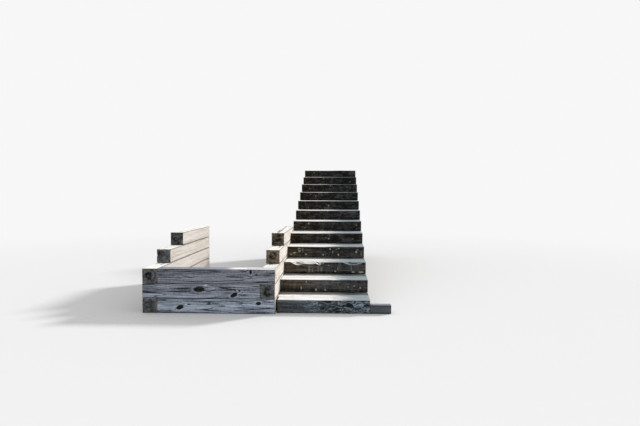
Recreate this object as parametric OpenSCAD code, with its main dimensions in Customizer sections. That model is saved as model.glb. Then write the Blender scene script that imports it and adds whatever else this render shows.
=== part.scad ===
// Garden stairs of heavy square timbers, built as stacked box steps beside a low timber retaining wall.
// X runs across the flight, Y runs into it from the foot, Z is up. The origin is the middle of the footprint.

/* [Steps] */
// Number of steps
steps = 12; // [4:1:16]
// Height of a step timber, which is the rise of one step
step_timber_h = 140; // [100:5:180]
// Depth of a step timber from front to back
step_timber_d = 149.6; // [100:0.1:200]
// Timbers laid side by side in one tread, the riser timber counted
tread_timbers = 3; // [2:1:4]
// Width of the steps
step_w = 965; // [700:5:1500]
// Gap between the cheek wall and the left end of the first riser
first_riser_gap = 16; // [0:1:40]
// Radius worn onto the front edge of every step
nosing_r = 16; // [6:1:30]

/* [Worn step] */
// Step whose front edge is worn into hollows, counted from the foot
worn_step = 3; // [2:1:4]
// Deepest hollow, measured square to its slope
worn_depth = 20; // [6:1:30]
// Slope of the hollows towards the front, in degrees from level
worn_slope = 30; // [20:1:60]
// Radius of the hollows along the edge
worn_r = 320; // [120:10:500]

/* [Walls] */
// Thickness of a square wall timber
wall_timber = 152; // [110:1:180]
// Courses in the front retaining wall
wall_courses = 3; // [2:1:4]
// Courses by which the two side walls rise above the front wall, each set further back
stepped_courses = 2; // [1:1:3]
// Length of the front wall over its corners
wall_len = 1360; // [900:5:2400]
// Distance by which the front wall stands ahead of the first riser
wall_lead = 60; // [10:5:200]
// Distance from the first riser back to the front of the lowest stepped course
first_setback = 400; // [60:10:600]
// Distance from the front of one stepped course back to the next one's
course_setback = 500; // [200:10:550]
// Steps that the side walls run past, from the foot
walled_steps = 5; // [4:1:5]

/* [Side curb] */
// Length of the low timber that closes the gap beside the first step
curb_len = 215; // [100:5:500]
// Thickness of the curb timber
curb_timber = 92; // [60:1:120]

/* [Timber] */
// Width of the eased edges of every timber
arris = 5; // [2:0.5:10]
// Longest timber that is bought, so longer courses are pieced together
stock_len = 2400; // [1800:50:5000]
// Joint between timbers that are laid hard against each other
tight_joint = 0.4; // [0.2:0.1:0.8]
// Joint between two lengths of one course that meet end to end
butt_joint = 3; // [1:0.5:8]

/* [Hidden] */
rise = step_timber_h;
going = tread_timbers * (step_timber_d + tight_joint);
flight_back = steps * going - tight_joint;
wall_back = walled_steps * going;
side_courses = wall_courses + stepped_courses;

// The front wall ends on the right at the cheek wall's inner face
wall_right = -tight_joint;
wall_left = wall_right - wall_len;

// The footprint, from which the origin is set
left_x = wall_left;
right_x = step_w + tight_joint + curb_len;
front_y = -wall_lead;
mid_x = (left_x + right_x) / 2;
mid_y = (front_y + flight_back) / 2;

// Sections, as width or depth by height
step_timber = [step_timber_d, step_timber_h];
support_timber = [step_timber_d, step_timber_h];
square_timber = [wall_timber, wall_timber];
nosing_steps = 6;

// Hollows in the worn edge: place along the step and depth, as shares of its width and of the deepest
hollows = [[0.16, 0.8], [0.26, 1], [0.44, 0.3], [0.86, 0.9]];

wet_wood = "#3a3a3c";
pale_wood = "#d8d2c8";
grey_wood = "#8d8f93";
sunlit_wood = "#cfc2ae";
buried_wood = "#6d665d";

function step_node(part, n) = str("step_", n, "_", part);
function course_node(wall, n) = str(wall, "_course_", n);

// Section of a timber with eased edges, its corner at the origin
module timber_section(size) {
    polygon([
        [arris, 0], [size.x - arris, 0], [size.x, arris], [size.x, size.y - arris],
        [size.x - arris, size.y], [arris, size.y], [0, size.y - arris], [0, arris]
    ]);
}

// Section of a riser timber, its upper front edge worn round by feet
module riser_section(size) {
    worn_edge = [
        for (i = [0 : nosing_steps])
            let (a = 90 + 90 * i / nosing_steps)
            [nosing_r * (1 + cos(a)), size.y - nosing_r * (1 - sin(a))]
    ];
    polygon(concat(
        [[arris, 0], [size.x - arris, 0], [size.x, arris], [size.x, size.y - arris], [size.x - arris, size.y]],
        worn_edge,
        [[0, arris]]
    ));
}

// Lays a section, drawn as depth by height, along X
module along_x(length) {
    rotate([90, 0, 90]) linear_extrude(length) children();
}

// Lays a section, drawn as width by height, along Y
module along_y(length) {
    translate([0, length, 0]) rotate([90, 0, 0]) linear_extrude(length) children();
}

// A timber across the flight, from x0 to x1, with its lower front edge at y and z
module cross_timber(x0, x1, y, z, size) {
    translate([x0, y, z]) along_x(x1 - x0) timber_section(size);
}

// A timber into the flight, from y0 to y1, with its lower left edge at x and z
module long_timber(y0, y1, x, z, size) {
    translate([x, y0, z]) along_y(y1 - y0) timber_section(size);
}

// Hollows worn into the front edge, cut square to their slope
module worn_hollows() {
    edge_inset = nosing_r * (sin(worn_slope) + cos(worn_slope) - 1);
    for (h = hollows)
        translate([h[0] * step_w, 0, step_timber_h])
            rotate([worn_slope, 0, 0])
                translate([0, 0, worn_r - edge_inset - h[1] * worn_depth])
                    rotate([90, 0, 0]) cylinder(h = step_timber_h, r = worn_r, center = true);
}

module riser(n) {
    left = n == 1 ? first_riser_gap : 0;
    color(wet_wood)
        translate([0, (n - 1) * going, (n - 1) * rise])
            difference() {
                translate([left, 0, 0]) along_x(step_w - left) riser_section(step_timber);
                if (n == worn_step) worn_hollows();
            }
}

module tread(n) {
    color(pale_wood)
        for (i = [1 : tread_timbers - 1])
            cross_timber(
                0, step_w, (n - 1) * going + i * (step_timber_d + tight_joint), (n - 1) * rise, step_timber
            );
}

// A course under the ends of the treads above, in equal lengths no longer than the stock
module support_course(n, x) {
    front = n * going;
    back = flight_back - (n % 2 == 0 ? step_timber_d : 0);
    lengths = ceil((back - front) / stock_len);
    length = (back - front - (lengths - 1) * butt_joint) / lengths;
    for (i = [0 : lengths - 1]) {
        start = front + i * (length + butt_joint);
        long_timber(start, start + length, x, (n - 1) * rise, support_timber);
    }
}

// At even courses the back wall covers the ends of the side timbers
module support(x, first) {
    color(buried_wood) for (n = [first : 2 : steps - 1]) support_course(n, x);
}

module back_wall(first) {
    inset = first % 2 == 0 ? 0 : support_timber.x;
    color(buried_wood)
        for (n = [first : 2 : steps - 1])
            cross_timber(inset, step_w - inset, flight_back - step_timber_d, (n - 1) * rise, step_timber);
}

// Corners cross like a crib: odd courses of the front wall reach the right corner, even ones the left
module front_wall(n) {
    left = wall_left + (n % 2 == 0 ? 0 : wall_timber);
    right = wall_right - (n % 2 == 0 ? wall_timber : 0);
    color(grey_wood) cross_timber(left, right, front_y, (n - 1) * wall_timber, square_timber);
}

// Where a side wall's course starts: at the corner, behind the front wall, or stepped back above it
function side_front(n, through) =
    n > wall_courses ? first_setback + (n - wall_courses - 1) * course_setback :
    through ? front_y : front_y + wall_timber;

module side_wall(n, x, through) {
    color(sunlit_wood) long_timber(side_front(n, through), wall_back, x, (n - 1) * wall_timber, square_timber);
}

module side_curb() {
    first = step_w + tight_joint;
    color(wet_wood) cross_timber(first, first + curb_len, 0, 0, [curb_timber, curb_timber]);
}

translate([-mid_x, -mid_y, 0]) {
    for (n = [1 : steps]) {
        riser(n);
        tread(n);
    }
    for (n = [1 : wall_courses])
        front_wall(n);
    for (n = [1 : side_courses]) {
        side_wall(n, wall_right - wall_timber, n % 2 == 0);
        side_wall(n, wall_left, n % 2 == 1);
    }
    support(0, 1);  // left_support_odd_courses
    support(0, 2);  // left_support_even_courses
    support(step_w - support_timber.x, 1);  // right_support_odd_courses
    support(step_w - support_timber.x, 2);  // right_support_even_courses
    back_wall(1);  // back_wall_odd_courses
    back_wall(2);  // back_wall_even_courses
    side_curb();
}
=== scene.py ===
"""Garden stairs of heavy weathered timbers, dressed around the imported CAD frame.

Every CAD timber is replaced by a mesh timber of the same size, with worn edges, drying
checks, knots and sawn ends. Lengths are in metres, in the frame's axes: +Y runs up the flight.
"""

import math
from dataclasses import dataclass

import bmesh
import bpy
import numpy as np
from mathutils import Matrix, Vector


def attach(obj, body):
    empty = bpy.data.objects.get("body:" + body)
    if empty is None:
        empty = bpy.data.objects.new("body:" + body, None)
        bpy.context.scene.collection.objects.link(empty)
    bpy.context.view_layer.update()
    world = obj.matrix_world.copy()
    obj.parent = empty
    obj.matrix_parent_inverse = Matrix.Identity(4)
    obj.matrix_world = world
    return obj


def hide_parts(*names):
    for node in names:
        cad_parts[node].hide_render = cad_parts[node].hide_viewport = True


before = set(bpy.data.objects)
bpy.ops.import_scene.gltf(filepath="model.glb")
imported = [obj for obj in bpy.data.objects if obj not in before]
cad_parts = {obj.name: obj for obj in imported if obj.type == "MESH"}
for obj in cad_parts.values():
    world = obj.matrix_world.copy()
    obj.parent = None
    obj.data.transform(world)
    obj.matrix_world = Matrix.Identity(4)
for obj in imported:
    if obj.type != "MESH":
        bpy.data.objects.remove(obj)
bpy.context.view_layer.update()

# Camera, fitted to the photograph
IMAGE_WIDTH = 640
FOCAL_PIXELS = 550.0
SENSOR_WIDTH = 36.0
EYE = Vector((0.722, -8.252, 1.210))
EYE_YAW = math.radians(1.856)
EYE_PITCH = math.radians(-1.874)
EYE_ROLL = math.radians(0.2)

# Light: a low sun from behind on the right, softened, and an even sky
SKY_COLOUR = (1.0, 1.0, 1.0, 1.0)
SKY_STRENGTH = 0.72
KEY_STRENGTH = 2.85
KEY_ANGLE = math.radians(9.0)
KEY_FROM = (0.75, 0.62, 0.5)

# Pale floor, which fades into the background between two distances from the stairs
FLOOR_COLOUR = (0.78, 0.78, 0.78, 1.0)
BACKDROP_COLOUR = (0.93, 0.93, 0.93, 1.0)
FLOOR_REACH = 40.0
FLOOR_DROP = 0.0005
FLOOR_FADE = (4.0, 11.0)

# Front of the first riser and going of the flight, as in the CAD source
FIRST_NOSING = -2.6698
GOING = 0.45

# Faces of a timber's section, in order round it, and the outward direction of each
BOTTOM, BACK, TOP, FRONT = range(4)
FACE_NORMALS = np.array([[0, -1], [1, 0], [0, 1], [-1, 0]])
# Corners of the section, at which the faces start, and the way in from each
CORNERS = np.array([[0, 0], [1, 0], [1, 1], [0, 1]])
INWARD = 1 - 2 * CORNERS

# Noise along an edge: waves a metre, step from edge to edge, share of the radius, seed factor
EDGE_LAYERS = ((3.1, 7.3, 0.22, 11), (11.0, 3.7, 0.16, 13))
# Chips out of an edge: waves a metre, step from edge to edge, level from which they start, seed factor
CHIPS = (17.0, 5.1, 0.55, 17)
# Noise on the faces: waves a metre along and round, share of the roughness, seed factor
FACE_LAYERS = ((1.3, 5.0, 0.9, 3), (5.0, 28.0, 0.5, 5), (9.0, 80.0, 0.3, 7))

# Checks: most lines moved on each side, length of a blind end, narrowest gape
CHECK_REACH = 5
BLIND_END = 0.04
NARROWEST_CHECK = 0.0004
# How the path of a check wanders: waves a metre, metres to either side, seed factor
PATH_LAYERS = ((2.2, 0.006, 31), (9.0, 0.0014, 37))

# Worn step: slope of its scoops, fade of their rim, how far torn wood and fibres stand up or down in
# them, and run-out, wander, half width and depth of the splits across them
WORN_STEP = 3
WORN_SLOPE = math.radians(30.0)
SCOOP_RIM = 0.006
TORN_WOOD = 0.003
TORN_FIBRES = 0.0025
SPLIT_END = 0.025
SPLIT_WANDER = 0.005
SPLIT_HALF_WIDTH = 0.0055
SPLIT_DEPTH = 0.007

# Sawn ends: setback of the first section and of its edge, roughness, depth of a split at the rim and
# inside it, rings as shares of the way from the pith to the rim, and depth at the pith
END_SETBACK = 0.0035
END_ROUNDING = 0.0025
END_ROUGH = 0.0007
RIM_SPLIT_DEPTH = 0.004
END_SPLIT_DEPTH = 0.012
CAP_SHARES = (0.9, 0.78, 0.65, 0.51, 0.37, 0.23, 0.1)
PITH_DEPTH = 0.0012

# Map: gap between a timber's side and its ends, and between timbers
MAP_GAP = 0.01
SHEET_MARGIN = 0.012

# Side of a noise table, a spot too far off to mark anything, and a distance beyond any
NOISE_CELLS = 64
NO_SPOT = (60.0, 60.0, 0.001)
FAR_AWAY = 1e9


# Timber meshes


def ease(x):
    """Smooth step from 0 to 1."""
    x = np.clip(x, 0.0, 1.0)
    return x * x * (3.0 - 2.0 * x)


class Timber:
    """One timber: its box, its own axes (along, across, up) and how it has weathered."""

    def __init__(self, low, high, seed, style):
        self.style = style
        self.seed = seed
        size = high - low
        self.length = max(size.x, size.y)
        self.section = np.array([min(size.x, size.y), size.z])
        if size.x >= size.y:
            self.origin = np.array(low)
            self.axes = np.eye(3)
        else:
            self.origin = np.array([high.x, low.y, low.z])
            self.axes = np.array([[0, 1, 0], [-1, 0, 0], [0, 0, 1]])
        self.random = np.random.default_rng(seed)
        self.pith = self.section * (0.5 + self.random.uniform(-0.2, 0.2, 2))
        self.knots, self.flecks, self.checks = [], [], []
        self.hollows, self.splits = (), ()

    def noise(self, x, y, factor, number=0):
        """Smooth noise from -1 to 1 at the places x, y, one cell to a unit, of a seed of its own."""
        cells = (NOISE_CELLS, NOISE_CELLS)
        table = np.random.default_rng(self.seed * factor + number).uniform(-1.0, 1.0, cells)
        x, y = np.broadcast_arrays(x, y)
        left, near = np.floor(x).astype(int), np.floor(y).astype(int)
        part_x, part_y = ease(x - left), ease(y - near)
        left, right = left % NOISE_CELLS, (left + 1) % NOISE_CELLS
        near, far = near % NOISE_CELLS, (near + 1) % NOISE_CELLS
        low = table[left, near] * (1.0 - part_x) + table[right, near] * part_x
        high = table[left, far] * (1.0 - part_x) + table[right, far] * part_x
        return low * (1.0 - part_y) + high * part_y


@dataclass
class MeshStyle:
    """Lines on each face and round each corner, edge radii, spacing along, roughness and chips."""

    counts: tuple
    corner_steps: tuple
    radii: tuple
    station: float
    rough: float
    chips: float


@dataclass
class Check:
    """A drying crack along one face: where it runs, how wide it gapes and how deep."""

    face: int
    place: float
    start: float
    end: float
    width: float
    depth: float
    slope: float


@dataclass
class Spot:
    """A knot, fleck or dark streak on one face: its place, half length, half height and turn."""

    face: int
    along: float
    across: float
    half_long: float
    half_wide: float
    turn: float = 0.0
    dark: bool = False


def side_of(face):
    """Which coordinate of the section runs across a face: 0 across the timber, 1 up it."""
    return 0 if face in (BOTTOM, TOP) else 1


def section_lines(style):
    """The lines round a section: the corner each starts from, way out, face, and share of the face."""
    rows = []
    for k in range(4):
        steps = style.corner_steps[k]
        for i in range(steps + 1):
            angle = math.radians(180 + 90 * k + 90 * i / steps)
            out = (math.cos(angle), math.sin(angle))
            rows.append((k, out, (k - 1) % 4 if i * 2 < steps else k, 0.0))
        for i in range(1, style.counts[k] + 1):
            rows.append((k, FACE_NORMALS[k], k, i / (style.counts[k] + 1)))
    return [np.array(column) for column in zip(*rows)]


def section_points(timber, radii, corner, out, share):
    """Places of the section's lines at every station."""
    centres = CORNERS * timber.section + radii[:, :, None] * INWARD
    start, end = (centres[:, k] + radii[:, k, None] * out for k in (corner, (corner + 1) % 4))
    return start + (end - start) * share[:, None]


def open_checks(timber, along, points, depth, crack, faces, shares):
    """Draws the lines of each face onto the paths of its checks and sinks the middle ones."""
    for number, check in enumerate(timber.checks):
        own = np.flatnonzero((shares > 0.0) & (faces == check.face))
        axis = side_of(check.face)
        middle = 0.5 * (check.start + check.end)
        near = np.argmin(np.abs(along - middle))
        index = np.argmin(np.abs(points[near, own, axis] - check.place))
        reach = min(index, len(own) - 1 - index, CHECK_REACH)
        if reach < 2:
            continue
        wander = sum(
            timber.noise(along * waves, check.place * 40.0, factor, number) * stray
            for waves, stray, factor in PATH_LAYERS
        )
        path = check.place + wander + check.slope * (along - middle)

        # A blind end closes to a point, and one at the timber's end stays open
        at = np.clip((along - check.start) / (check.end - check.start), 0.0, 1.0)
        swell = np.sqrt(np.sin(math.pi * (0.06 + 0.88 * at)))
        blend = np.ones_like(along)
        for is_open, inside, share in (
            (check.start <= 0.0, along - check.start, at),
            (check.end >= timber.length, check.end - along, 1.0 - at),
        ):
            if is_open:
                swell = np.sqrt(np.cos(0.5 * math.pi * share * 0.98))
            else:
                blend = blend * ease(inside / BLIND_END)
        swell = swell * (0.8 + 0.2 * timber.noise(along * 12.0, 0.5, 41, number)) * blend

        line = own[index]
        shift = (path - points[:, line, axis]) * blend
        for step in range(-reach, reach + 1):
            points[:, own[index + step], axis] += shift * (1.0 - abs(step) / (reach + 1.0))
        for step in (-1, 1):
            lip = points[:, line, axis] + step * np.maximum(check.width * swell, NARROWEST_CHECK) * 0.5
            beside = own[index + step]
            points[:, beside, axis] += (lip - points[:, beside, axis]) * blend
        depth[:, line] += check.depth * swell
        crack[:, line] = np.maximum(crack[:, line], swell)


def break_edge(timber, along, points, crack):
    """Cuts the scoops that feet and splits have worn into the upper front edge, square to their slope."""
    lean, rise = math.sin(WORN_SLOPE), math.cos(WORN_SLOPE)
    way_in = np.array([lean, -rise])
    along = along[:, None]
    cut = np.full(along.shape, -1.0)
    for place, deep, radius in timber.hollows:
        away = np.abs(along - place)
        cut = np.maximum(cut, deep - away * away / (2.0 * radius))
    ragged = timber.noise(along * 24.0, 3.5, 53) * TORN_WOOD
    fibre = timber.noise(along * 9.0, np.arange(points.shape[1]) * 0.9, 59) * TORN_FIBRES
    edge = points[:, :, 0] * lean + (timber.section[1] - points[:, :, 1]) * rise
    push = np.clip(cut + (ragged + fibre) * ease(cut / SCOOP_RIM) - edge, 0.0, None)
    points += push[:, :, None] * way_in

    # Fibres that have come away leave dark splits across the slope
    for start, end, back, gape in timber.splits:
        run = ease((along - start) / SPLIT_END) * ease((end - along) / SPLIT_END)
        path = back + timber.noise(along * 32.0, back * 300.0, 67) * SPLIT_WANDER
        near = np.clip(1.35 - np.abs(points[:, :, 0] - path) / SPLIT_HALF_WIDTH, 0.0, 1.0)
        split = np.where(push > 0.0, run * near * gape, 0.0)
        crack[:] = np.maximum(crack, split)
        points += split[:, :, None] * SPLIT_DEPTH * way_in


def shape_timber(timber):
    """Stations of one timber, the section's points at each, its cracks, faces and girth."""
    style = timber.style
    corners, out, faces, shares = section_lines(style)
    inner = timber.length - 2.0 * END_SETBACK
    count = max(round(inner / style.station), 2)
    along = END_SETBACK + inner * np.linspace(0.0, 1.0, count + 1)
    radii = np.empty((len(along), 4))
    for k in range(4):
        worn = sum(
            timber.noise(along * waves, k * step, factor, k) * share
            for waves, step, share, factor in EDGE_LAYERS
        )
        waves, step, level, factor = CHIPS
        chip = np.clip(timber.noise(along * waves, k * step, factor, k) - level, 0.0, 1.0)
        radii[:, k] = style.radii[k] * (1.0 + worn) + chip * style.chips
    points = section_points(timber, radii, corners, out, shares)
    girth = np.concatenate([[0.0], np.cumsum(np.linalg.norm(np.diff(points[0], axis=0), axis=1))])
    depth = sum(
        (1.0 + timber.noise(along[:, None] * waves, girth * waves_round, factor)) * share * style.rough
        for waves, waves_round, share, factor in FACE_LAYERS
    )
    crack = np.zeros_like(depth)
    open_checks(timber, along, points, depth, crack, faces, shares)
    points -= out * depth[:, :, None]
    if timber.hollows:
        break_edge(timber, along, points, crack)
    return along, points, crack, faces, girth


def cap_rings(timber, outline, split, at_end):
    """Rings of points that close a sawn end, from its edge to the pith: section, place along and crack."""
    heart = timber.pith
    inward = heart - outline
    edge = outline + inward / np.linalg.norm(inward, axis=1, keepdims=True) * END_ROUNDING
    rings = [(edge, split * RIM_SPLIT_DEPTH, split)]
    for share in CAP_SHARES:
        ring = heart + (edge - heart) * share
        rough = 1.0 + timber.noise(ring[:, 0] * 60.0, ring[:, 1] * 60.0, 61, at_end)
        depth = rough * END_ROUGH + split * END_SPLIT_DEPTH * share ** 0.5
        rings.append((ring, depth, split * (0.35 + 0.65 * share)))
    rings.append((heart[None], np.array([PITH_DEPTH]), np.zeros(1)))
    base, sign = (timber.length, -1.0) if at_end else (0.0, 1.0)
    return [(ring, base + sign * depth, cracked) for ring, depth, cracked in rings]


def seen_from(spot, along, across):
    """A place seen from a spot, in its own half length and half height."""
    dx, dy = along - spot.along, across - spot.across
    cos, sin = math.cos(spot.turn), math.sin(spot.turn)
    return (dx * cos + dy * sin) / spot.half_long, (dy * cos - dx * sin) / spot.half_wide


def nearest_spots(spots, places, quads, quad_faces, by_shape):
    """For each corner of each quad, its place as seen from the quad's nearest spot, and that spot's size.

    The size of a dark streak is given below zero. The nearest spot is found in the spots' own sizes
    if by_shape is true, and otherwise in metres.
    """
    seen = np.tile(NO_SPOT, (len(quads), 4, 1))
    corners = places[quads]
    centres = corners.mean(1)
    nearest = np.full(len(quads), FAR_AWAY)
    for spot in spots:
        axis = 1 + side_of(spot.face)
        unit = (1.0, 1.0) if by_shape else (spot.half_long, spot.half_wide)
        x, y = seen_from(spot, centres[:, 0], centres[:, axis])
        distance = np.where(quad_faces == spot.face, np.hypot(x * unit[0], y * unit[1]), FAR_AWAY)
        closer = distance < nearest
        nearest[closer] = distance[closer]
        x, y = seen_from(spot, corners[closer, :, 0], corners[closer, :, axis])
        size = -spot.half_wide if spot.dark else spot.half_wide
        seen[closer] = np.stack([x, y, np.full_like(x, size)], 2)
    return seen


def build_timber(timber):
    """The timber's mesh data in the frame's axes, ready to be joined with others of its piece."""
    along, points, crack, faces, girth = shape_timber(timber)
    stations, around = crack.shape
    places = np.concatenate([np.repeat(along, around)[:, None], points.reshape(-1, 2)], axis=1)
    cracks = crack.ravel()

    # Side quads, station by station
    s, j = np.indices((stations - 1, around)).reshape(2, -1)
    corners = ((s, j), (s, j + 1), (s + 1, j + 1), (s + 1, j))
    quads = np.stack([row * around + column % around for row, column in corners], 1)
    girth = np.append(girth, girth[-1] + girth[1])
    quad_uvs = np.stack([np.column_stack([along[row], girth[column]]) for row, column in corners], 1)

    # Sawn ends: rings of quads, and a fan of triangles at the pith
    k = np.arange(around)
    cap_side = timber.section.max()
    triangles, triangle_uvs = [], []
    for at_end in (False, True):
        station = stations - 1 if at_end else 0
        corner_uv = (timber.length + MAP_GAP, 0.0 if at_end else cap_side + MAP_GAP)
        outer = (station * around + k, points[station] + corner_uv)
        for ring, length, split in cap_rings(timber, points[station], crack[station], at_end):
            inner = (len(places) + k % len(ring), ring[k % len(ring)] + corner_uv)
            used = [0, 1, 2, 3] if len(ring) > 1 else [0, 1, 3]
            made, made_uvs = (
                np.stack([a, np.roll(a, -1, 0), np.roll(b, -1, 0), b], 1)[:, used if at_end else used[::-1]]
                for a, b in zip(outer, inner)
            )
            if len(ring) > 1:
                quads = np.concatenate([quads, made])
                quad_uvs = np.concatenate([quad_uvs, made_uvs])
            else:
                triangles.append(made)
                triangle_uvs.append(made_uvs)
            outer = inner
            places = np.concatenate([places, np.column_stack([length, ring])])
            cracks = np.concatenate([cracks, split])
    quad_faces = np.full(len(quads), -1)
    quad_faces[: len(j)] = faces[j]

    # What the material reads: place in the grain, distance to the nearest edge, nearest knot and fleck
    ends = np.arange(len(places)) >= crack.size
    across = places[:, 1:]
    rim = np.minimum(across, timber.section - across).max(axis=1)
    end_distance = np.minimum(places[:, 0], timber.length - places[:, 0])
    rim = np.where(ends, rim, np.minimum(rim, end_distance))
    return {
        "points": timber.origin + places @ timber.axes,
        "quads": quads,
        "triangles": np.concatenate(triangles),
        "quad_uvs": quad_uvs,
        "triangle_uvs": np.concatenate(triangle_uvs),
        "sheet": (timber.length + MAP_GAP + cap_side, max(girth[-1], 2.0 * cap_side + MAP_GAP)),
        "grain": places + (timber.seed * 7.31, *-timber.pith),
        "wear": np.stack([cracks, rim, ends], 1),
        "knot": nearest_spots(timber.knots, places, quads, quad_faces, False),
        "fleck": nearest_spots(timber.flecks, places, quads, quad_faces, True),
    }


def pack_sheets(sizes):
    """Lower left corners for rectangles in rows of one height, and the size of a sheet about square."""
    tallest = max(height for _, height in sizes) + SHEET_MARGIN
    order = sorted(range(len(sizes)), key=lambda i: -sizes[i][0])
    best_side, best = math.inf, None
    for rows in range(1, len(sizes) + 1):
        used = [0.0] * rows
        places = [None] * len(sizes)
        for i in order:
            row = used.index(min(used))
            places[i] = (used[row], row * tallest)
            used[row] += sizes[i][0] + SHEET_MARGIN
        sheet_size = (max(used), rows * tallest)
        if max(sheet_size) < best_side:
            best_side, best = max(sheet_size), (places, sheet_size)
    return best


def store(data, key, values, kind=np.float32):
    """Writes an array of numbers or vectors into mesh data."""
    data.foreach_set(key, values.astype(kind).ravel())


def add_object(name, data):
    """A new object in the scene."""
    made = bpy.data.objects.new(name, data)
    bpy.context.scene.collection.objects.link(made)
    return made


def join_timbers(name, timbers, material):
    """One mesh piece from several timbers, with a map and the data its material reads."""
    built = [build_timber(timber) for timber in timbers]
    sheet_places, sheet_size = pack_sheets([b["sheet"] for b in built])
    count = 0
    for b, place in zip(built, sheet_places):
        for key in ("quads", "triangles"):
            b[key] = b[key] + count
        for key in ("quad_uvs", "triangle_uvs"):
            b[key] = (b[key] + np.array(place) + 0.5 * SHEET_MARGIN) / sheet_size
        count += len(b["points"])
    whole = {key: np.concatenate([b[key] for b in built]) for key in built[0] if key != "sheet"}
    quads, triangles = whole["quads"], whole["triangles"]
    corners = np.concatenate([quads.ravel(), triangles.ravel()])
    starts = np.concatenate([np.arange(len(quads)) * 4, quads.size + np.arange(len(triangles)) * 3])

    mesh = bpy.data.meshes.new(name)
    mesh.vertices.add(count)
    mesh.loops.add(len(corners))
    mesh.polygons.add(len(starts))
    store(mesh.vertices, "co", whole["points"])
    store(mesh.loops, "vertex_index", corners, np.int32)
    store(mesh.polygons, "loop_start", starts, np.int32)
    mesh.update(calc_edges=True)
    store(mesh.polygons, "use_smooth", np.ones(len(starts)), bool)
    flat_uvs = [whole[key].reshape(-1, 2) for key in ("quad_uvs", "triangle_uvs")]
    store(mesh.uv_layers.new(name="OFBake").uv, "vector", np.concatenate(flat_uvs))
    for label in ("grain", "wear"):
        store(mesh.attributes.new(label, "FLOAT_VECTOR", "POINT").data, "vector", whole[label])
    bare = np.tile(NO_SPOT, (triangles.size, 1))
    for label in ("knot", "fleck"):
        values = np.concatenate([whole[label].reshape(-1, 3), bare])
        store(mesh.attributes.new(label, "FLOAT_VECTOR", "CORNER").data, "vector", values)
    mesh.validate()
    mesh.materials.append(material)
    return add_object(name, mesh)


def boxes_in(node):
    """Lowest and highest corners of each separate solid in a CAD node, in a fixed order."""
    solid = bmesh.new()
    solid.from_mesh(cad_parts[node].data)
    bmesh.ops.remove_doubles(solid, verts=solid.verts, dist=1e-5)
    waiting = set(solid.verts)
    boxes = []
    while waiting:
        group = [waiting.pop()]
        for vert in group:
            for edge in vert.link_edges:
                other = edge.other_vert(vert)
                if other in waiting:
                    waiting.remove(other)
                    group.append(other)
        low, high = (Vector(pick(v.co[i] for v in group) for i in range(3)) for pick in (min, max))
        boxes.append((low, high))
    solid.free()
    return sorted(boxes, key=lambda box: [round(box[0][i], 4) for i in (2, 1, 0)])


# Node graphs


def linear(colour):
    """A colour of display values from 0 to 255, as the linear one that a node takes."""
    shares = (value / 255.0 for value in colour)
    return (*(s / 12.92 if s <= 0.04045 else ((s + 0.055) / 1.055) ** 2.4 for s in shares), 1.0)


class Value:
    """What a node gives out, with the sums and patterns that can be made from it."""

    def __init__(self, graph, socket):
        self.graph = graph
        self.socket = socket

    def math(self, operation, *others):
        return self.graph.math(operation, self, *others)

    def __add__(self, other):
        return self.math("ADD", other)

    __radd__ = __add__

    def __sub__(self, other):
        return self.math("SUBTRACT", other)

    def __rsub__(self, other):
        return self.graph.math("SUBTRACT", other, self)

    def __mul__(self, other):
        return self.math("MULTIPLY", other)

    def __truediv__(self, other):
        return self.math("DIVIDE", other)

    def __pow__(self, other):
        return self.math("POWER", other)

    def __abs__(self):
        return self.math("ABSOLUTE")

    def at_least(self, other):
        return self.math("MAXIMUM", other)

    def between(self, low, high, start=0.0, end=1.0):
        """start at low, end at high, and a smooth step from one to the other."""
        inputs = dict(enumerate((self, low, high, start, end)))
        return self.graph.value("ShaderNodeMapRange", inputs, interpolation_type="SMOOTHSTEP")

    def near(self, centre, reach):
        """1 where the value equals centre, falling to 0 at reach from it."""
        return abs(self - centre).between(0.0, reach, 1.0, 0.0)

    def split(self):
        made = self.graph.node("ShaderNodeSeparateXYZ", {0: self})
        return [Value(self.graph, socket) for socket in made.outputs]

    def stretch(self, x, y, z):
        return self.graph.value("ShaderNodeVectorMath", {0: self, 1: (x, y, z)}, operation="MULTIPLY")

    def noise(self, scale=1.0, detail=2.0, roughness=0.5, distortion=0.0, output="Fac"):
        inputs = {"Vector": self, "Scale": scale, "Detail": detail}
        inputs.update({"Roughness": roughness, "Distortion": distortion})
        return self.graph.value("ShaderNodeTexNoise", inputs, output)

    def noise_line(self, scale=1.0):
        inputs = {"W": self, "Scale": scale, "Detail": 1.0}
        return self.graph.value("ShaderNodeTexNoise", inputs, noise_dimensions="1D")


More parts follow.
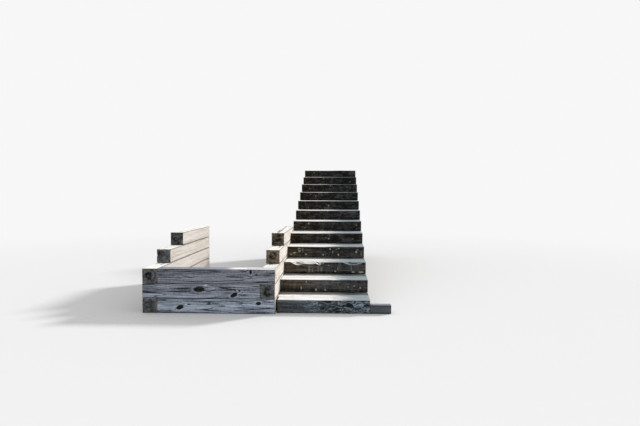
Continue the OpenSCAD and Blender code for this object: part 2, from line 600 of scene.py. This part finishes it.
class Graph:
    """The nodes of a material or a world."""

    def __init__(self, owner):
        owner.use_nodes = True
        self.tree = owner.node_tree
        self.tree.nodes.clear()

    def node(self, kind, inputs, **settings):
        made = self.tree.nodes.new(kind)
        for key, value in settings.items():
            setattr(made, key, value)
        for key, value in inputs.items():
            if isinstance(value, Value):
                self.tree.links.new(value.socket, made.inputs[key])
            else:
                made.inputs[key].default_value = value
        return made

    def value(self, kind, inputs, output=0, **settings):
        """Makes a node and gives back one of its outputs."""
        return Value(self, self.node(kind, inputs, **settings).outputs[output])

    def math(self, operation, *values):
        return self.value("ShaderNodeMath", dict(enumerate(values)), operation=operation)

    def join(self, x, y, z):
        return self.value("ShaderNodeCombineXYZ", {0: x, 1: y, 2: z})

    def attribute(self, name):
        return self.value("ShaderNodeAttribute", {}, "Vector", attribute_name=name)

    def position(self):
        return self.value("ShaderNodeTexCoord", {}, "Object")

    def colours(self, factor, first, second, blend="MIX"):
        """The first colour at 0 and the second at 1, or the first one multiplied by the second."""
        first, second = (c if isinstance(c, Value) else linear(c) for c in (first, second))
        inputs = {0: factor, 6: first, 7: second}
        return self.value("ShaderNodeMix", inputs, 2, data_type="RGBA", blend_type=blend)

    def seen_directly(self):
        """1 for what the camera sees, also in a mirror or through glass."""
        camera, glossy, through = (
            self.value("ShaderNodeLightPath", {}, f"Is {ray} Ray")
            for ray in ("Camera", "Glossy", "Transmission")
        )
        return camera.at_least(glossy).at_least(through)

    def show(self, output, factor, first, second):
        """Ends the graph with a mix of two shaders."""
        mixed = self.value("ShaderNodeMixShader", {0: factor, 1: first, 2: second})
        self.node(output, {"Surface": mixed})


# Materials

# How far a face leans before it counts as turned to the right or lying flat
TURNED = (0.5, 0.85)

# Where painted light and shade, and colours, change across the flight and up it
FIRST_BARK_X = (0.3, 0.65)
RISER_TINT_X = (0.15, 0.6)
WALL_LIT_X = (-0.45, -0.3)
# Low ends, and ends at the left, take a blue tint of painted shade; high ends on the right turn warm
WARM_END_X = (-1.1, -0.5)
WARM_END_Z = (0.3, 0.5)
PALER_END_Z = (0.44, 0.5)
DARKER_END_Z = (0.6, 0.62)
GROUND_DARKENING_Z = (0.0, 0.05)

# Treads: painted shade from the right, which reaches further left up the flight, and a painted shadow of
# each riser across the backs of the lower treads
TREAD_SHADE_X = (0.64, 0.94)
TREAD_SHADE_DRIFT = (0.05, 0.13)
TREAD_SHADE_DRIFT_LENGTH = 1.1
TREAD_BACK_SHARE = (0.58, 0.72)
TREAD_BACK_Z = (0.44, 0.62)


class WoodGraph(Graph):
    """The nodes of a wood material, with the values that its parts share."""

    def __init__(self, material, look):
        super().__init__(material)
        self.look = look
        self.crack, self.rim, self.end = self.attribute("wear").split()
        self.knot_x, self.knot_y, self.knot_size = self.attribute("knot").split()
        normal_x, _, self.normal_z = self.value("ShaderNodeNewGeometry", {}, "Normal").split()
        self.place = self.position()
        self.x, self.y, self.z = self.place.split()
        self.facing_right = normal_x.between(*TURNED)
        self.facing_up = self.normal_z.between(*look["bleach_and_sunlight"])
        self.lengthwise = 1.0 - self.end


def lay_grain(g):
    """The grain's coordinates, pushed to either side of the nearest knot and curled near the bark."""
    along, across, up = g.attribute("grain").split()
    x_squared, y_squared = g.knot_x * g.knot_x, g.knot_y * g.knot_y
    g.knot_distance = (x_squared + y_squared).math("SQRT")
    reach = (x_squared * -0.18 - y_squared * 0.3).math("EXPONENT")
    push = g.knot_y / (y_squared + 0.2).math("SQRT") * reach * g.knot_size * 1.25
    lying_flat = abs(g.normal_z).between(*TURNED)
    across = across - push * lying_flat
    up = up - push * (1.0 - lying_flat)
    if "swirl" in g.look:
        g.curled = g.x.between(*FIRST_BARK_X)
        curl = g.join(along, across, up).stretch(11.0, 17.0, 17.0).noise() - 0.5
        up = up + curl * g.look["swirl"] * g.curled
    g.along, g.across, g.up = along, across, up
    g.grain = g.join(along, across, up)


def lay_rings(g):
    """Rings round a pith that wanders along the timber, and the late wood at the rim of each."""
    drift = g.join(g.along * 0.9, 0.0, 0.0).noise(detail=1.0, output="Color")
    drift_across, drift_up, _ = drift.split()
    across = g.across + (drift_across - 0.5) * 0.07
    up = g.up + (drift_up - 0.5) * 0.07
    ripple = g.grain.stretch(3.2, 16.0, 16.0).noise() - 0.5
    g.radius = (across * across + up * up).math("SQRT") + ripple * 0.012
    g.ring = g.radius / g.look["ring"]
    g.late = g.ring.math("FRACT") ** 3.5


def lay_fibres(g):
    """Streaks and fibres. Each is shifted along by its own amount, so that no bands cross the grain."""
    shift = g.grain.stretch(0.0, 45.0, 45.0).noise(detail=1.0) - 0.5
    shifted = g.join(g.along + shift * 1.2, g.across, g.up)
    run, pitch = g.look["run"], g.look["pitch"]
    g.streak = shifted.stretch(run, pitch, pitch).noise(detail=3.0, roughness=0.6)
    g.fibre = shifted.stretch(9.0, 420.0, 420.0).noise()
    g.own = (g.along * 0.07).noise_line()


def lay_fine_cracks(g):
    """Thin drying lines along the grain, and radial ones on the ends."""
    inputs = {"Vector": g.grain.stretch(0.9, 34.0, 34.0), "Scale": 1.0}
    cell_edge = g.value("ShaderNodeTexVoronoi", inputs, feature="DISTANCE_TO_EDGE")
    gate = g.grain.stretch(1.9, 13.0, 13.0).noise(detail=1.0).between(0.47, 0.6)
    threads = cell_edge.between(0.0, g.look["thread"], 1.0, 0.0) * gate * g.lengthwise
    # Fine cracks are faint on upper faces and on right faces, which carry painted sunlight
    threads = threads * (1.0 - g.facing_up * 0.55)
    if "right" in g.look:
        threads = threads * (1.0 - g.facing_right * 0.75)
    radius = g.radius.at_least(0.001)
    star = g.join(g.across / radius, g.up / radius, 0.0).noise(2.6, 1.0)
    spokes = star.near(0.5, 0.022) * g.radius.between(0.004, 0.02) * g.end
    g.fine = threads.at_least(spokes)


def grain_value(g):
    """Place of each point between the wood's dark and its pale colour, from 0 to 1."""
    look = g.look
    strength = look["streak"]
    if "swirl" in look:
        strength = (g.curled * 0.9 + 0.2) * strength
    layers = (
        (g.ring.noise_line(0.42), look["years"]),
        (g.streak, strength),
        (g.fibre, 0.5),
        (g.place.noise(48.0, 4.0, 0.68), look["speck"]),
        (g.grain.stretch(1.6, 7.0, 7.0).noise(), look["patch"]),
        (g.own, look["own"]),
    )
    flame = g.grain.stretch(1.5, 24.0, 24.0).noise(detail=1.0).near(0.5, 0.035)
    value = 0.5 + sum((layer - 0.5) * amount for layer, amount in layers)
    value = value - g.late * look["late"] - flame * g.lengthwise * look["flame"]
    if "tail" in look:
        tails = abs(g.knot_y).near(0.35, 0.45) * (abs(g.knot_x) * -0.3).math("EXPONENT")
        value = value - tails * look["tail"]
    if "swirl" in look:
        strand = g.grain.stretch(7.0, 42.0, 42.0).noise(detail=3.0, distortion=1.1)
        strands = strand.near(0.5, 0.06) * (g.curled * 0.9 + 0.1)
        value = value - g.curled * 0.3 + strands * 1.35
    return value.math("MINIMUM", 1.0).at_least(0.0) ** look["gamma"]


def side_colour(g, value):
    """Colour of upright faces, with pale runs of rain, and tints across the flight and up it."""
    look = g.look
    colour = g.colours(value, *look["side"])
    if "runs" in look:
        run_colour, strength = look["runs"]
        drops = g.place.stretch(26.0, 1.0, 5.0).noise(detail=3.0, roughness=0.6, distortion=0.6)
        colour = g.colours(drops.between(0.42, 0.72) * strength, colour, run_colour)
    if "tints" in look:
        tint = g.colours(g.x.between(*RISER_TINT_X), *look["tints"])
        colour = g.colours(1.0, colour, tint, "MULTIPLY")
    # Painted sunlight: faces turned to the right take the pale right colour
    if "right" in look:
        colour = g.colours(g.facing_right, colour, g.colours(value, *look["right"]))
    if "climb" in look:
        low, high, climb_colour, least = look["climb"]
        blots = g.place.stretch(11.0, 5.0, 24.0).noise(detail=3.0, roughness=0.6)
        climb = g.z.between(low, high) * blots.between(0.38, 0.6, least, 1.0)
        colour = g.colours(climb, colour, climb_colour, "MULTIPLY")
    return colour


def top_colour(g, value):
    """Colour of upper faces, with painted shade where plants and the steps above would shadow them, and
    painted sunlight on part of the wall's top.
    """
    look = g.look
    colour = g.colours(value, *look["top"])
    # Painted shade: a bluish grey from the right of the treads, reaching further left up the flight
    if "foot" in look:
        drift_end = FIRST_NOSING + TREAD_SHADE_DRIFT_LENGTH
        drift = g.y.between(FIRST_NOSING, drift_end, *TREAD_SHADE_DRIFT)
        frayed = g.place.stretch(4.0, 26.0, 4.0).noise() - 0.5
        from_right = (g.x + drift + frayed * 0.6).between(*TREAD_SHADE_X)
        colour = g.colours(from_right, colour, look["foot"], "MULTIPLY")
        # Painted shadow of each riser across the back of the lower tread below it
        depth = ((g.y - FIRST_NOSING) / GOING).math("FRACT")
        depth = depth + (g.place.noise(14.0) - 0.5) * 0.16
        shaded = depth.between(*TREAD_BACK_SHARE) * g.z.between(*TREAD_BACK_Z, 1.0, 0.0)
        colour = g.colours(shaded, colour, look["foot_back"], "MULTIPLY")
    # Painted sunlight on the right part of the wall's top; the rest keeps the painted shade of the top
    # colour
    if "top_lit" in look:
        lit_part = g.x.between(*WALL_LIT_X) * g.normal_z.between(0.9, 0.98)
        colour = g.colours(lit_part, colour, g.colours(value, *look["top_lit"]))
    return colour


def end_colour(g):
    """Colour of sawn ends: broad bands of rings and some blotches, a blue tint of painted shade on low ends
    and those at the left, warmer ends high on the right, and pale ends turned right in painted sunlight.
    """
    look = g.look
    section = g.join(g.across, g.up, g.along)
    mottle = section.noise(26.0, 4.0, 0.62)
    bands = (g.radius * 150.0 + g.own * 25.0).math("SINE") * mottle.between(0.35, 0.6, 0.03, 0.2)
    arc = g.radius.near(0.032, 0.024) * section.noise(16.0, 1.0).between(0.42, 0.56, 0.15, 1.0)
    value = bands + 0.66 + (mottle - 0.5) * 2.6 - arc * 0.5 - g.late * 0.25
    value = value - g.radius.between(0.01, 0.04, 0.25, 0.0)
    value = value + g.z.between(*PALER_END_Z, 0.0, 0.12) - g.z.between(*DARKER_END_Z, 0.0, 0.36)
    # Blue tint of painted shade, except on the high ends at the right, which turn warm
    tint = g.colours(g.z.between(*WARM_END_Z) * g.x.between(*WARM_END_X), *look["end_shade_and_warm_tints"])
    colour = g.colours(1.0, g.colours(value, *look["end"]), tint, "MULTIPLY")
    # Painted sunlight on ends turned to the right
    if "painted_sunlit_right_end" in look:
        colour = g.colours(g.facing_right, colour, g.colours(value, *look["painted_sunlit_right_end"]))
    return colour


def mark_flecks(g, colour):
    """Pale flecks of lichen and scuffed wood, and dark streaks, which have a size below zero."""
    x, y, size = g.attribute("fleck").split()
    away = (x * x + y * y).math("SQRT") + (g.place.noise(120.0) - 0.5) * 1.6
    upright = 1.0 - g.facing_up
    pale = size.between(-0.001, 0.0)
    flecks = away.between(0.35, 1.15, 1.0, 0.0) * upright * pale
    flecks = flecks * size.between(0.003, 0.014, 0.3, 0.95) * size.between(0.016, 0.03, 1.0, 0.3)
    colour = g.colours(flecks, colour, g.look["fleck"])
    streaks = away.between(0.2, 1.15, 0.9, 0.0) * upright * (1.0 - pale)
    return g.colours(streaks, colour, g.look["knot"][0])


def mark_knots(g, colour):
    """Knots: a heart with its own rings inside a dark bark line, worn pale on the tops."""
    dark, pale = g.look["knot"]
    distance = g.knot_distance + (g.place.noise(70.0, roughness=0.6) - 0.5) * 0.55
    halo = distance.near(1.45, 0.45) * g.look["halo"]
    colour = g.colours(halo, colour, g.look.get("right", g.look["side"])[1])
    patch = g.place.noise(34.0, 1.0).between(0.42, 0.62, -0.1, 0.7)
    heart_colour = g.colours((distance * 3.0).math("FRACT") * 0.4 + patch, dark, pale)
    worn_pale = g.facing_up * 0.72
    heart = distance.between(0.85, 1.02, 1.0, 0.0) * (1.0 - worn_pale)
    colour = g.colours(heart, colour, heart_colour)
    g.bark = distance.near(0.96, 0.26)
    return g.colours(g.bark * (0.8 - worn_pale * 0.7), colour, dark)


def mark_dirt(g, colour):
    """Open cracks, dirt and painted shade along the edges and joints, and darker colour towards the ground.
    """
    look = g.look
    # Dirt and painted shade along the edges and in the joints
    seam = g.rim.between(0.001, look["seam_reach"], look["seam"], 0.0) * (1.0 - g.facing_up * 0.6)
    # Darker towards the ground, over the lowest few centimetres
    ground_darkening = g.z.between(*GROUND_DARKENING_Z, look["ground_darkening"], 0.0)
    dark = (g.fine * look["fine"]).at_least(g.crack.between(0.12, 0.6)).at_least(seam).at_least(ground_darkening)
    return g.colours(dark, colour, look["crack"])


def wood(name, look):
    """Weathered softwood: rings round the pith, streaks that flow round knots, checks and stains."""
    material = bpy.data.materials.new(name)
    g = WoodGraph(material, look)
    lay_grain(g)
    lay_rings(g)
    lay_fibres(g)
    lay_fine_cracks(g)
    value = grain_value(g)
    # Upper faces take the paler top colour: sun-bleached wood, with painted sunlight as well
    colour = g.colours(g.facing_up, side_colour(g, value), top_colour(g, value))
    colour = g.colours(g.end, colour, end_colour(g))
    if "fleck" in look:
        colour = mark_flecks(g, colour)
    colour = mark_dirt(g, mark_knots(g, colour))

    # Relief: ridges of late wood, streaks and fibres, fine cracks and sunken bark
    height = g.late * 0.3 + g.fibre * 0.35 + g.streak * 0.4 - g.fine * 0.9 - g.bark * 0.5
    inputs = {
        "Base Color": colour,
        "Roughness": value * 0.14 + look["rough"],
        "Specular IOR Level": 0.2,
        "Normal": g.value("ShaderNodeBump", {"Strength": 0.7, "Distance": 0.0028, "Height": height}),
    }
    shader = g.value("ShaderNodeBsdfPrincipled", inputs)
    g.node("ShaderNodeOutputMaterial", {"Surface": shader})
    return material


# Looks: colours are in display values, mostly in pairs of a dark and a pale one, and most other
# numbers are strengths
COMMON = dict(
    ring=0.0085, years=1.1, streak=1.5, run=1.8, pitch=62.0, speck=0.3, flame=0.3, patch=0.5, own=0.3,
    gamma=1.0, late=0.25, fine=0.85, thread=0.07, halo=0.15, seam=0.35, seam_reach=0.009, ground_darkening=0.35,
    rough=0.78, bleach_and_sunlight=(0.72, 0.93), crack=(24, 22, 21),
    knot=((7, 7, 8), (44, 37, 28)),
    # Tints of the sawn ends: blue for painted shade, and warm
    end_shade_and_warm_tints=((216, 232, 255), (255, 244, 226)),
)
# Near-white tops of the steps: sun-bleached wood, and painted sunlight as well
BLEACHED_AND_SUNLIT = dict(
    COMMON,
    top=((236, 234, 230), (255, 255, 254)),
    # Painted shade on the treads: bluish grey at the right, grey at the back of each tread
    foot=(150, 162, 170),
    foot_back=(150, 149, 147),
)
LOOKS = dict(
    riser=dict(
        BLEACHED_AND_SUNLIT,
        side=((14, 14, 15), (128, 122, 116)),
        runs=((116, 108, 96), 0.42),
        tints=((255, 240, 217), (230, 242, 255)),
        climb=(0.36, 0.62, (76, 75, 74), 0.4),
        end=((42, 39, 36), (126, 118, 108)),
        fleck=(188, 190, 176),
        bleach_and_sunlight=(0.6, 0.82), patch=0.9, streak=1.2, run=2.6, pitch=74.0, speck=1.3, gamma=1.6, halo=0.1,
    ),
    first_riser=dict(
        BLEACHED_AND_SUNLIT,
        side=((17, 20, 23), (136, 148, 158)),
        tints=((222, 214, 206), (246, 252, 255)),
        knot=((10, 12, 14), (40, 44, 48)),
        end=((42, 39, 36), (126, 118, 108)),
        bleach_and_sunlight=(0.6, 0.82), swirl=0.1, streak=1.7, pitch=84.0, run=3.4, speck=0.8, patch=0.4, gamma=1.5,
    ),
    tread=dict(
        BLEACHED_AND_SUNLIT,
        side=((78, 74, 68), (132, 126, 118)),
        end=((56, 52, 47), (150, 140, 128)),
        seam=0.2,
    ),
    wall=dict(
        COMMON,
        # Bluish grey: grey wood with the blue of painted shade under an open sky
        side=((50, 56, 66), (218, 232, 252)),
        # Top in painted shade, bluish grey; top_lit in painted sunlight, near white
        top=((110, 116, 126), (176, 183, 193)),
        top_lit=((238, 235, 233), (255, 254, 252)),
        end=((18, 18, 20), (112, 111, 114)),
        painted_sunlit_right_end=((168, 154, 140), (238, 229, 218)),
        climb=(0.06, 0.36, (206, 198, 196), 1.0),
        knot=((7, 8, 12), (38, 35, 29)),
        fleck=(204, 208, 216),
        bleach_and_sunlight=(0.86, 0.97), halo=0.2, seam=0.75, ground_darkening=0.06, flame=0.45, tail=0.35, streak=1.8, run=4.0,
        pitch=86.0, speck=0.8, years=1.0, own=0.1,
    ),
    side_wall=dict(
        COMMON,
        # Painted sunlight on the right faces and near-white tops; the other sides darker, as painted shade
        side=((60, 57, 52), (124, 118, 109)),
        right=((200, 190, 178), (236, 229, 221)),
        top=((240, 236, 229), (254, 252, 248)),
        end=((16, 15, 15), (134, 128, 119)),
        crack=(56, 41, 30),
        seam=1.0, seam_reach=0.013, halo=0.1,
    ),
    support=dict(
        COMMON,
        side=((66, 58, 49), (134, 121, 105)),
        top=((84, 76, 66), (142, 130, 116)),
        end=((46, 39, 32), (126, 112, 95)),
        seam=0.3,
    ),
    curb=dict(
        COMMON,
        side=((50, 53, 57), (112, 118, 124)),
        top=((104, 106, 111), (162, 164, 168)),
        end=((38, 38, 38), (116, 113, 110)),
    ),
)

STEP_STYLE = MeshStyle((3, 3, 21, 19), (3, 2, 2, 5), (0.006, 0.004, 0.004, 0.017), 0.0105, 0.0011, 0.012)
TREAD_STYLE = MeshStyle((3, 5, 15, 3), (2, 2, 2, 2), (0.004, 0.0045, 0.004, 0.004), 0.02, 0.0009, 0.006)
FRONT_STYLE = MeshStyle((3, 4, 11, 21), (3, 3, 3, 3), (0.0055, 0.006, 0.006, 0.006), 0.0095, 0.0012, 0.01)
SIDE_STYLE = MeshStyle((3, 11, 11, 11), (3, 3, 3, 3), (0.0055, 0.0055, 0.006, 0.006), 0.02, 0.0012, 0.01)
BURIED_STYLE = MeshStyle((3, 7, 3, 7), (2, 2, 2, 2), (0.006, 0.006, 0.006, 0.006), 0.045, 0.0012, 0.01)

# Knots and checks to scatter: faces, number and half height; faces, number, longest run and gape
NO_KNOTS = ((TOP,), 0, 0.0)
STEP_MARKS = (((TOP,), 1, 0.016), ((TOP,), 1, 0.5, 0.003))
WALL_MARKS = (((BACK, TOP), 4, 0.02), ((BACK, BACK, TOP), 5, 1.3, 0.004))
BURIED_MARKS = (((FRONT, BACK), 4, 0.018), ((FRONT, BACK), 4, 1.2, 0.004))

# Kinds of timber by a part of the node's name: look, material slot, mesh style, knots and checks
KINDS = (
    ("step_1_riser", "first_riser", "riser_wood", STEP_STYLE, *STEP_MARKS),
    ("_riser", "riser", "riser_wood", STEP_STYLE, *STEP_MARKS),
    ("_tread", "tread", "tread_wood", TREAD_STYLE, *STEP_MARKS),
    ("front_wall", "wall", "wall_wood", FRONT_STYLE, NO_KNOTS, ((TOP,), 2, 0.6, 0.005)),
    ("_wall_course_", "side_wall", "side_wall_wood", SIDE_STYLE, *WALL_MARKS),
    ("side_curb", "curb", "curb_wood", FRONT_STYLE, NO_KNOTS, ((TOP, FRONT), 2, 0.2, 0.003)),
    ("", "support", "support_wood", BURIED_STYLE, *BURIED_MARKS),
)

# Scoops worn into the third step's edge: place along it, depth square to their slope, and radius
WORN_HOLLOWS = ((0.165, 0.034, 0.14), (0.29, 0.026, 0.5), (0.418, 0.034, 0.07), (0.816, 0.033, 0.3))
# Splits across the scoops: start, end, distance from the front and how far they gape, from 0 to 1
WORN_SPLITS = (
    (0.12, 0.2, 0.045, 0.4), (0.13, 0.25, 0.022, 0.45), (0.35, 0.43, 0.031, 0.8), (0.39, 0.47, 0.019, 0.9),
    (0.74, 0.81, 0.036, 0.8), (0.79, 0.88, 0.027, 0.9), (0.76, 0.83, 0.018, 0.6),
)
# Checks on its top: place from the front, start, end, gape, depth and slope
WORN_CHECKS = (
    (0.085, 0.13, 0.32, 0.007, 0.015, 0.03),
    (0.1, 0.36, 0.6, 0.006, 0.015, 0.0),
    (0.09, 0.7, 0.92, 0.007, 0.015, -0.02),
)

# Heart of the cheek wall's second timber, seen on its front end, across from the steps' side and up
CHEEK_HEART = (0.0734, 0.079)

# Pale flecks on the lower risers, in millimetres: place along, place up, half length and half height
FLECK_SPREAD = 1.2
RISER_FLECKS = {
    2: (
        (232, 43, 7, 17), (286, 112, 4, 16), (397, 24, 8, 14), (497, 24, 12, 8), (750, 59, 10, 7),
        (816, 70, 10, 7), (882, 49, 6, 11),
    ),
    3: (
        (295, 55, 12, 45), (336, 40, 8, 26), (404, 50, 9, 30), (443, 52, 13, 30), (527, 98, 9, 6),
        (605, 27, 10, 9), (634, 66, 5, 20), (796, 66, 10, 30), (815, 22, 16, 10), (909, 20, 28, 10),
    ),
    4: (
        (45, 39, 11, 8), (87, 59, 18, 10), (145, 111, 15, 7), (149, 77, 15, 11), (190, 94, 7, 30),
        (232, 39, 13, 9), (450, 35, 12, 10), (535, 108, 7, 13), (570, 67, 6, 20), (615, 105, 9, 6),
        (642, 39, 10, 13), (646, 115, 12, 7), (867, 73, 10, 14), (884, 100, 13, 6), (929, 53, 8, 24),
    ),
}

# Knots, pale crescents beside them and dark streaks on each course of the front wall:
# place along the timber, place up it, half length, half height and turn
WALL_KNOTS = {
    1: (
        (0.2354, 0.061, 0.036, 0.022, 0.35), (0.33, 0.093, 0.02, 0.006, 0.1),
        (1.0404, 0.108, 0.024, 0.018, 0.1),
    ),
    2: (
        (0.5844, 0.094, 0.05, 0.025, 0.0), (0.9434, 0.041, 0.038, 0.02, 0.5),
        (0.998, 0.082, 0.013, 0.008, -0.6),
    ),
    3: ((0.9594, 0.124, 0.012, 0.024, 0.0),),
}
WALL_CRESCENTS = {
    1: ((0.2994, 0.088, 0.016, 0.01, 0.4), (0.202, 0.054, 0.011, 0.009, 0.0)),
    2: (
        (0.65, 0.134, 0.024, 0.012, 0.3), (0.71, 0.104, 0.06, 0.009, 0.0),
        (0.972, 0.0835, 0.014, 0.009, 0.6),
    ),
    3: (),
}
WALL_STREAKS = {
    1: ((0.6, 0.102, 0.06, 0.008, -0.1), (0.856, 0.101, 0.032, 0.008, 0.0)),
    2: (
        (0.4, 0.101, 0.15, 0.013, 0.0), (0.36, 0.071, 0.18, 0.0085, 0.0),
        (0.875, 0.101, 0.08, 0.0105, -0.07), (0.955, 0.083, 0.036, 0.006, -0.42),
    ),
    3: (
        (0.8, 0.072, 0.12, 0.01, -0.04), (1.02, 0.096, 0.016, 0.011, 0.0),
        (1.127, 0.0955, 0.07, 0.009, 0.0), (0.33, 0.066, 0.08, 0.008, -0.12),
    ),
}
# Checks on them: place up the timber, start, end, gape, depth and slope
WALL_CHECKS = {
    1: (),
    2: (
        (0.107, -0.1, 0.53, 0.0065, 0.02, 0.0), (0.07, -0.1, 0.55, 0.0055, 0.018, 0.0),
        (0.1, 0.76, 0.94, 0.007, 0.02, -0.03),
    ),
    3: ((0.116, 0.2, 0.93, 0.0045, 0.014, 0.035), (0.071, 0.7, 0.92, 0.005, 0.014, -0.04)),
}

# Random knots and checks: share of the face kept clear at each edge, a knot's length to its height,
# least distance between two, and a check's depth to its gape
KNOT_MARGIN = 0.22
CHECK_MARGIN = 0.25
KNOT_STRETCH = 1.35
KNOT_SPACING = 0.18
CHECK_DEPTH = 3.5


def pick_place(timber, faces, margin):
    """A random face of those given, and a place across it that keeps clear of its edges."""
    face = int(timber.random.choice(faces))
    return face, timber.section[side_of(face)] * timber.random.uniform(margin, 1.0 - margin)


def scatter_knots(timber, faces, count, half_wide):
    """Random knots, kept clear of each other."""
    for _ in range(count):
        face, place = pick_place(timber, faces, KNOT_MARGIN)
        at = timber.random.uniform(0.06, 0.94) * timber.length
        size = half_wide * timber.random.uniform(0.6, 1.1)
        turn = timber.random.uniform(-0.3, 0.3)
        if not any(k.face == face and abs(k.along - at) < KNOT_SPACING for k in timber.knots):
            timber.knots.append(Spot(face, at, place, size * KNOT_STRETCH, size, turn))


def scatter_checks(timber, faces, count, longest, width):
    """Random drying checks, some of them running out at an end."""
    for _ in range(count):
        face, place = pick_place(timber, faces, CHECK_MARGIN)
        run = min(longest, timber.length) * timber.random.uniform(0.35, 1.0)
        start = timber.random.uniform(-0.3 * run, timber.length - 0.7 * run)
        gape = width * timber.random.uniform(0.5, 1.0)
        slope = timber.random.uniform(-0.02, 0.02)
        check = Check(face, place, start, start + run, gape, gape * CHECK_DEPTH, slope)
        timber.checks.append(check)


def scatter_flecks(timber, count):
    """Random small flecks on the front."""
    for _ in range(count):
        at = timber.random.uniform(0.03, 0.97) * timber.length
        place = timber.random.uniform(0.1, 0.9) * timber.section[1]
        half_long = timber.random.uniform(0.004, 0.012)
        half_wide = timber.random.uniform(0.004, 0.011)
        timber.flecks.append(Spot(FRONT, at, place, half_long, half_wide))


def mark_riser(timber, step):
    """A riser's flecks, and the third one's broken edge."""
    if step in RISER_FLECKS:
        for x, y, half_long, half_wide in np.array(RISER_FLECKS[step]) / 1000.0:
            spot = Spot(FRONT, x, y, FLECK_SPREAD * half_long, FLECK_SPREAD * half_wide)
            timber.flecks.append(spot)
    elif step > 1:
        scatter_flecks(timber, 4)
    if step == WORN_STEP:
        timber.hollows = WORN_HOLLOWS
        timber.splits = WORN_SPLITS
        timber.checks = [Check(TOP, *row) for row in WORN_CHECKS]


def mark_front_wall(timber, course):
    """A front wall timber's knots, crescents, streaks and checks."""
    timber.knots = [Spot(FRONT, *row) for row in WALL_KNOTS[course]]
    timber.flecks = [Spot(FRONT, *row) for row in WALL_CRESCENTS[course]]
    timber.flecks += [Spot(FRONT, *row, dark=True) for row in WALL_STREAKS[course]]
    timber.checks = [Check(FRONT, *row) for row in WALL_CHECKS[course]]


def mark_timber(node, timber, knots, checks):
    """Adds the random knots and checks of a timber's kind, and what is its own."""
    scatter_knots(timber, *knots)
    if node.endswith("_riser"):
        mark_riser(timber, int(node.split("_")[1]))
    elif node.startswith("front_wall"):
        mark_front_wall(timber, int(node.split("_")[-1]))
    elif node == "cheek_wall_course_2":
        timber.pith = np.array(CHEEK_HEART)
    if not timber.hollows:
        scatter_checks(timber, *checks)


# Studio


def place_camera():
    """The camera at the photograph's place and viewing angle."""
    data = bpy.data.cameras.new("camera")
    data.sensor_width = SENSOR_WIDTH
    data.lens = SENSOR_WIDTH * FOCAL_PIXELS / IMAGE_WIDTH
    camera = add_object("camera", data)
    turn = (
        Matrix.Rotation(EYE_YAW, 4, "Z")
        @ Matrix.Rotation(math.pi / 2 + EYE_PITCH, 4, "X")
        @ Matrix.Rotation(EYE_ROLL, 4, "Z")
    )
    camera.matrix_world = Matrix.Translation(EYE) @ turn
    bpy.context.scene.camera = camera


def lay_floor():
    """A pale floor that fades into the background."""
    material = bpy.data.materials.new("studio_floor")
    g = Graph(material)
    far = g.value("ShaderNodeVectorMath", {0: g.position()}, "Value", operation="LENGTH")
    ground = g.value("ShaderNodeBsdfDiffuse", {"Color": FLOOR_COLOUR})
    glow = g.value("ShaderNodeEmission", {"Color": BACKDROP_COLOUR, "Strength": 1.0})
    g.show("ShaderNodeOutputMaterial", far.between(*FLOOR_FADE) * g.seen_directly(), ground, glow)
    mesh = bpy.data.meshes.new("floor")
    mesh.from_pydata([(x, y, 0.0) for x, y in INWARD * -FLOOR_REACH], [], [(0, 1, 2, 3)])
    mesh.materials.append(material)
    floor = add_object("floor", mesh)
    floor.location = (0.0, 0.0, -FLOOR_DROP)


def light_stage():
    """One soft key light and an even sky, which the camera sees as the background."""
    world = bpy.data.worlds.new("studio")
    bpy.context.scene.world = world
    g = Graph(world)
    sky = g.value("ShaderNodeBackground", {"Color": SKY_COLOUR, "Strength": SKY_STRENGTH})
    backdrop = g.value("ShaderNodeBackground", {"Color": BACKDROP_COLOUR, "Strength": 1.0})
    g.show("ShaderNodeOutputWorld", g.seen_directly(), sky, backdrop)

    lamp = bpy.data.lights.new("key", "SUN")
    lamp.energy = KEY_STRENGTH
    lamp.angle = KEY_ANGLE
    key = add_object("key", lamp)
    key.rotation_euler = Vector(KEY_FROM).to_track_quat("Z", "Y").to_euler()


bpy.context.scene.view_settings.view_transform = "Standard"
place_camera()
lay_floor()
light_stage()

# Pieces, one for each CAD node
materials = {name: wood(name + "_timber", look) for name, look in LOOKS.items()}
seed = 0
for node in sorted(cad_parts):
    look, slot, style, knots, checks = next(kind[1:] for kind in KINDS if kind[0] in node)
    timbers = []
    for low, high in boxes_in(node):
        seed += 1
        timber = Timber(low, high, seed, style)
        mark_timber(node, timber, knots, checks)
        timbers.append(timber)
    piece = join_timbers(node + "_timber", timbers, materials[look])
    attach(piece, "root")
    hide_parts(node)
